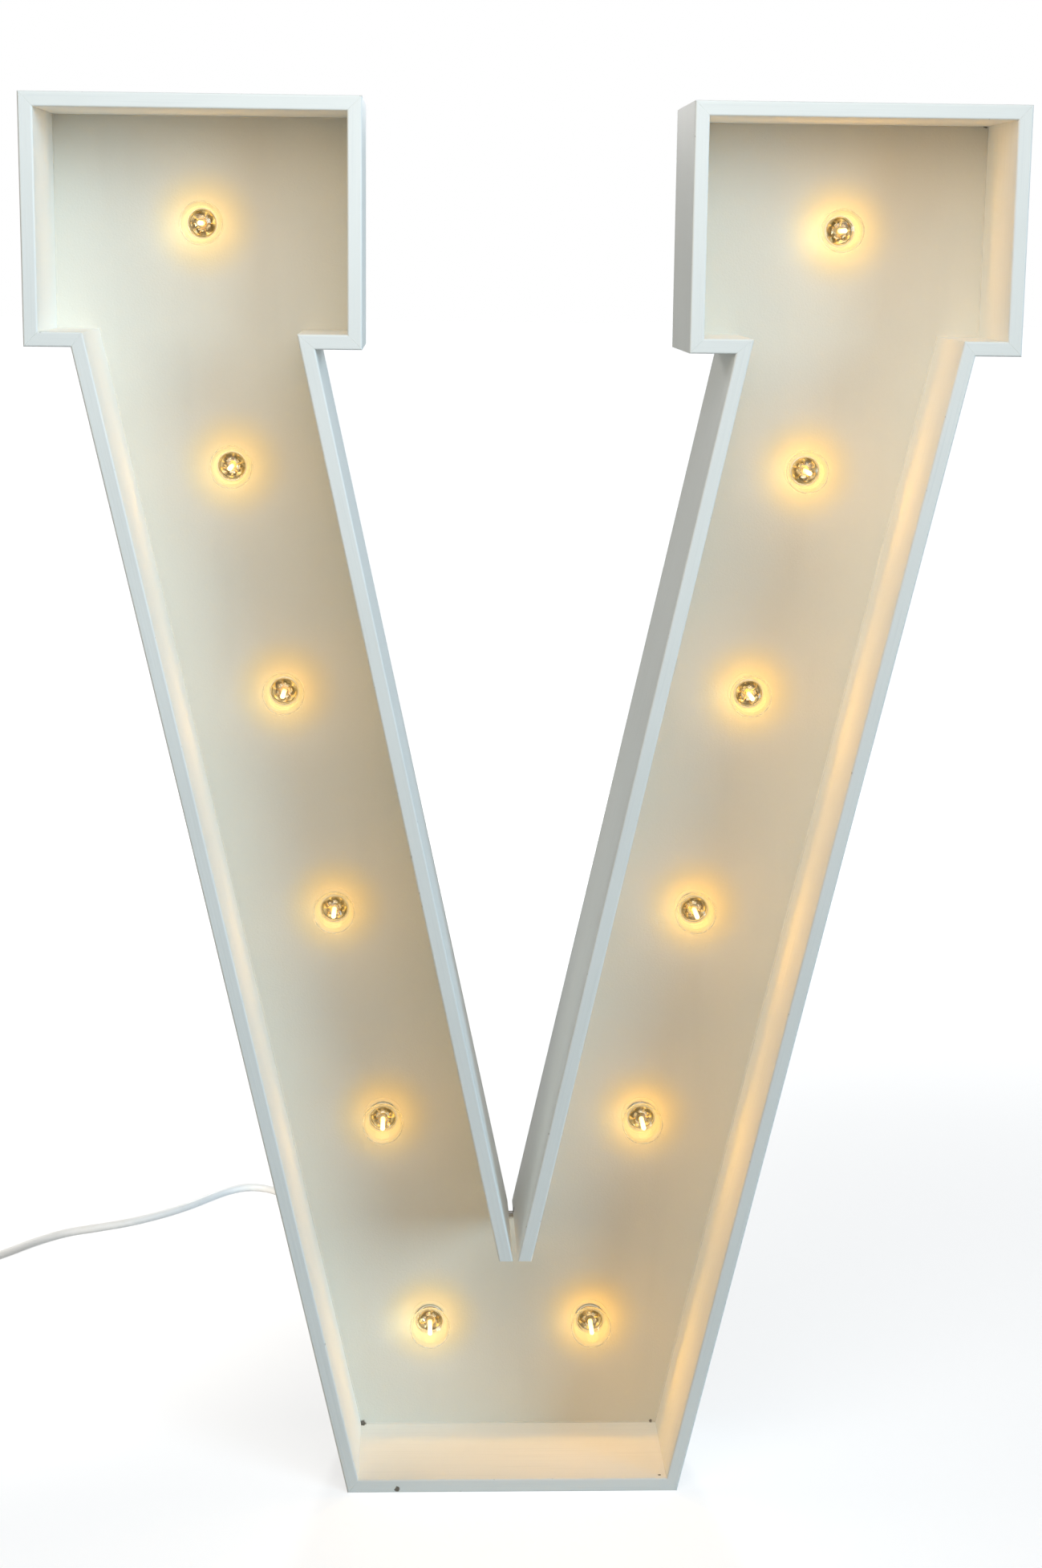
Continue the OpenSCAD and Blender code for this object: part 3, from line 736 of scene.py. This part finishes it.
# Lampholders: moulded plastic cups pushed through the panel from behind, with a flange on
# its back and a neck for each cable. Their mouths lie flush with its front, painted with it.
holder_back, housing_r, rib_middle = 0.073, 0.019, 0.0066
joint_r, joint_behind, joint_bead = 0.01715, 0.0003, 0.0005
lip_r, lip_behind, lip_bead = 0.01338, 0.0004, 0.0003
holder_plastic = Finish("holder plastic", {"Specular IOR Level": 0.4})
holder_spot = holder_plastic.place()
holder_grain = holder_plastic.noise(holder_spot, 800, 3)
holder_tint = holder_plastic.noise(holder_spot, 40, 3)
bare_plastic = holder_plastic.blend(holder_tint, (0.74, 0.73, 0.69), (0.8, 0.79, 0.75))
holder_depth = holder_plastic.node("ShaderNodeSeparateXYZ", {}, {"Vector": holder_spot}, out="Y")
# Their painted mouths take the panel's yellow, a painted glow of the bulbs' light
painted = holder_plastic.between(holder_depth, panel_front + 0.0015, panel_front + 0.0008)
holder_plastic.feed(
    Base_Color=holder_plastic.blend(painted, bare_plastic, painted_bulb_glow),
    Roughness=0.4 + 0.2 * holder_grain,
    Normal=holder_plastic.bump(holder_grain, 0.0002, 0.3),
)
dress("lampholders", holder_plastic)


def mouth_rings(radius, behind, count=64):
    """Points and edges of a ring round every lampholder's mouth, a little behind the panel's front."""
    points, edges = [], []
    for at in bulb_places.values():
        first = len(points)
        edges += [(first + j, first + (j + 1) % count) for j in range(count)]
        points += [(at.x + radius * math.cos(a), panel_front + behind, at.z + radius * math.sin(a))
                   for a in circle(count)]
    return points, edges


# Paint bridges the joint between each cup and the panel, and a soft lip closes on the bulb's cap
paint_lines = bead_tree.grow(panel_paint.material, *mouth_rings(joint_r, joint_behind), Radius=joint_bead)
finished("paint_lines", paint_lines, panel_paint.material, "letter")
lips = bead_tree.grow(holder_plastic.material, *mouth_rings(lip_r, lip_behind), Radius=lip_bead)
finished("holder_lips", lips, holder_plastic.material, "letter")
rib_tree = Growth("holder_ribs", Count=20, Radius=housing_r, Width=0.0014, Height=0.0012, Length=0.013)
rib_circle = {"Vertices": rib_tree.size("Count"), "Radius": rib_tree.size("Radius")}
rib_ring = rib_tree.node("GeometryNodeMeshCircle", {}, rib_circle)
rib_size = rib_tree.vector(rib_tree.size("Height"), rib_tree.size("Width"), rib_tree.size("Length"))
rib = rib_tree.node("GeometryNodeMeshCube", {}, {"Size": rib_size})
rib_turn = rib_tree.node("GeometryNodeInputIndex") * (2 * math.pi) / rib_tree.size("Count")
round_housing = {"Points": rib_ring, "Instance": rib, "Rotation": rib_tree.vector(0.0, 0.0, rib_turn)}
rib_set = rib_tree.node("GeometryNodeInstanceOnPoints", {}, round_housing)
rib_set = rib_tree.node("GeometryNodeTransform", {}, {"Geometry": rib_set, "Rotation": (math.pi / 2, 0, 0)})
each_holder = {"Points": rib_tree.size("Base"), "Instance": rib_set}
rib_tree.close(rib_tree.node("GeometryNodeInstanceOnPoints", {}, each_holder))
rib_places = [(at.x, holder_back - rib_middle, at.z) for at in bulb_places.values()]
ribs = rib_tree.grow(holder_plastic.material, rib_places)
finished("holder_ribs", ribs, holder_plastic.material, "letter", smooth=False)

# Screws: small slotted pan heads that close each lampholder's back and the junction box.
# They are zinc-plated steel, and no two slots line up.
holder_screw_reach, lid_screw_reach, lid_t = 0.0098, 0.025, 0.0012
box_mid, box_back = Vector((0, 0.0605, 0.116)), 0.072
screw_steel = Finish("screw steel", {"Metallic": 1.0})
scratches = screw_steel.noise(screw_steel.place(), 900, 3)
screw_steel.feed(
    Base_Color=screw_steel.blend(scratches, (0.62, 0.61, 0.57), (0.48, 0.47, 0.44)),
    Roughness=0.25 + 0.25 * scratches,
)
screw_tree = Growth("slotted_screws", Radius=0.0027, Height=0.0010, Slot=0.0007)
head_r, head_h = screw_tree.size("Radius"), screw_tree.size("Height")
head_sizes = {"Vertices": 24, "Radius Top": head_r * 0.84, "Radius Bottom": head_r, "Depth": head_h}
head = screw_tree.node("GeometryNodeMeshCone", {}, head_sizes)
cut_size = screw_tree.vector(head_r * 2.4, screw_tree.size("Slot"), head_h)
cut = screw_tree.node("GeometryNodeMeshCube", {}, {"Size": cut_size})
lift = screw_tree.vector(0.0, 0.0, head_h * 0.9)
cut = screw_tree.node("GeometryNodeTransform", {}, {"Geometry": cut, "Translation": lift})
slotted = {"Mesh 1": head, "Mesh 2": cut}
head = screw_tree.node("GeometryNodeMeshBoolean", {"operation": "DIFFERENCE"}, slotted)
head = screw_tree.node("GeometryNodeTransform", {}, {"Geometry": head, "Rotation": (-math.pi / 2, 0, 0)})
half_turn = {2: 0.0, 3: math.pi, "Seed": 7}
spin = screw_tree.node("FunctionNodeRandomValue", {"data_type": "FLOAT"}, half_turn, out=1)
heads = {"Points": screw_tree.size("Base"), "Instance": head, "Rotation": screw_tree.vector(0.0, spin, 0.0)}
screw_tree.close(screw_tree.node("GeometryNodeInstanceOnPoints", {}, heads))
screw_places = [(at.x + reach, holder_back, at.z + reach) for at in bulb_places.values()
                for reach in (-holder_screw_reach, holder_screw_reach)]
screw_places += [(reach, box_back + lid_t, box_mid.z) for reach in (-lid_screw_reach, lid_screw_reach)]
screws = screw_tree.grow(screw_steel.material, screw_places)
finished("back_screws", screws, screw_steel.material, "letter", smooth=False)

# Wiring: a white twin cable between the lampholders, held by saddle clips glued to the
# panel's back, and a small junction box where the two strings and the lead meet.
cable = Finish("cable sheath", {"Specular IOR Level": 0.4})
scuff = cable.noise(cable.place(), 120, 4)
cable.feed(
    Base_Color=cable.blend(cable.between(scuff, 0.4, 0.75), (0.82, 0.81, 0.78), (0.74, 0.73, 0.69)),
    Roughness=0.4 + 0.2 * scuff,
)
dress("harness", cable)
clip_plastic = Finish("clip plastic", {"Specular IOR Level": 0.4})
clip_grain = clip_plastic.noise(clip_plastic.place(), 600, 3)
clip_plastic.feed(
    Base_Color=clip_plastic.blend(clip_grain, (0.8, 0.8, 0.77), (0.85, 0.85, 0.82)),
    Roughness=0.38 + 0.2 * clip_grain,
)
dress("harness_clips", clip_plastic)
dress("junction_box", holder_plastic)
lid_w, lid_h = 0.061, 0.037


def lid_ring(y, inset):
    """One level of the junction box's lid: an oblong with round corners."""
    ring = []
    for a in circle(64):
        half_w, half_h = (oblong_reach(a, 9) * (half - inset) for half in (lid_w / 2, lid_h / 2))
        ring.append((half_w * math.cos(a), y, box_mid.z + half_h * math.sin(a)))
    return ring


lid_levels = ((-0.0004, 0), (0.0007, 0), (0.0011, 0.0003), (lid_t, 0.0008))
lid = lofted("box_lid", [lid_ring(box_back + rise, inset) for rise, inset in lid_levels])
finished("box_lid", lid, holder_plastic.material, "letter", smooth=False)
relief_rubber = Finish("relief rubber", {"Specular IOR Level": 0.3})
relief_grain = relief_rubber.noise(relief_rubber.place(), 500, 3)
relief_rubber.feed(
    Base_Color=relief_rubber.blend(relief_grain, (0.78, 0.78, 0.75), (0.83, 0.83, 0.8)),
    Roughness=0.55 + 0.2 * relief_grain,
)
dress("strain_relief", relief_rubber)

# Studio: a white floor that keeps the letter's shadow and a white surround. A cool sun from the
# right and a weak warm one from the left light the letter, with soft fills in front and behind
# and a spot on the lead.
floor_half = 40
floor_corners = [(x * floor_half, y * floor_half, 0) for x, y in ((-1, -1), (1, -1), (1, 1), (-1, 1))]
floor_mesh = bpy.data.meshes.new("floor")
floor_mesh.from_pydata(floor_corners, [], [(0, 1, 2, 3)])
floor = bpy.data.objects.new("floor", floor_mesh)
scene.collection.objects.link(floor)


def seen_by(flow):
    """1 for rays that show a thing to the eye: straight, in a reflection or through glass."""
    rays = flow.tree.nodes.new("ShaderNodeLightPath")
    kinds = [Value(flow, rays.outputs[f"Is {kind} Ray"]) for kind in ("Camera", "Glossy", "Transmission")]
    return kinds[0].maths("MAXIMUM", kinds[1]).maths("MAXIMUM", kinds[2])


white = Finish("floor white", {
    "Base Color": (0.6, 0.6, 0.6, 1), "Roughness": 0.9, "Specular IOR Level": 0.0, "Emission Strength": 1,
})
far = white.node("ShaderNodeVectorMath", {"operation": "LENGTH"}, {0: white.place()}, out="Value")
shown = white.blend(white.between(far, 0.8, 3.0), (0.7, 0.7, 0.7), (1, 1, 1))
white.feed(Emission_Color=white.blend(seen_by(white), (0, 0, 0), shown))
floor_mesh.materials.append(white.material)

world = bpy.data.worlds.new("surround")
scene.world = world
world.use_nodes = True
surround = Flow(world.node_tree)
dim_to_white = {0: seen_by(surround), 6: (0.05, 0.05, 0.05, 1), 7: (1, 1, 1, 1)}
sky = surround.node("ShaderNodeMix", {"data_type": "RGBA"}, dim_to_white, out=2)
world.node_tree.links.new(sky.socket, world.node_tree.nodes["Background"].inputs["Color"])

for name, kind, size, colour, power, place, aim in (
    ("key", "SUN", 0.50, (0.54, 0.80, 1.0), 1.75, (3.74, -3.14, 1.52), (0, 0, 0.75)),
    ("warm_fill", "SUN", 0.50, (1.0, 0.78, 0.42), 0.44, (-2.24, -2.67, 1.06), (0, 0, 0.75)),
    ("front_fill", "AREA", 1.2, (0.95, 0.97, 0.98), 8.6, (0.0, -0.9, 1.6), (0, 0, 0.95)),
    ("back_fill", "AREA", 0.3, (1.0, 1.0, 1.0), 34, (0.0, 3.2, 1.5), (0, 0, 0.6)),
    ("lead_light", "SPOT", 0.42, (1.0, 0.95, 0.88), 200, (-1.6, -1.2, 1.5), (-0.52, 0.62, 0)),
):
    soft = bpy.data.lights.new(name, kind)
    soft.color, soft.energy = colour, power
    if kind == "SUN":
        soft.angle = size
    elif kind == "SPOT":
        soft.spot_size, soft.spot_blend, soft.shadow_soft_size = size, 0.6, 0.2
    else:
        soft.shape, soft.size = "DISK", size
    soft_light = bpy.data.objects.new(name, soft)
    soft_light.location = place
    soft_light.visible_camera = False
    soft_light.rotation_euler = (Vector(aim) - soft_light.location).to_track_quat("-Z", "Y").to_euler()
    scene.collection.objects.link(soft_light)
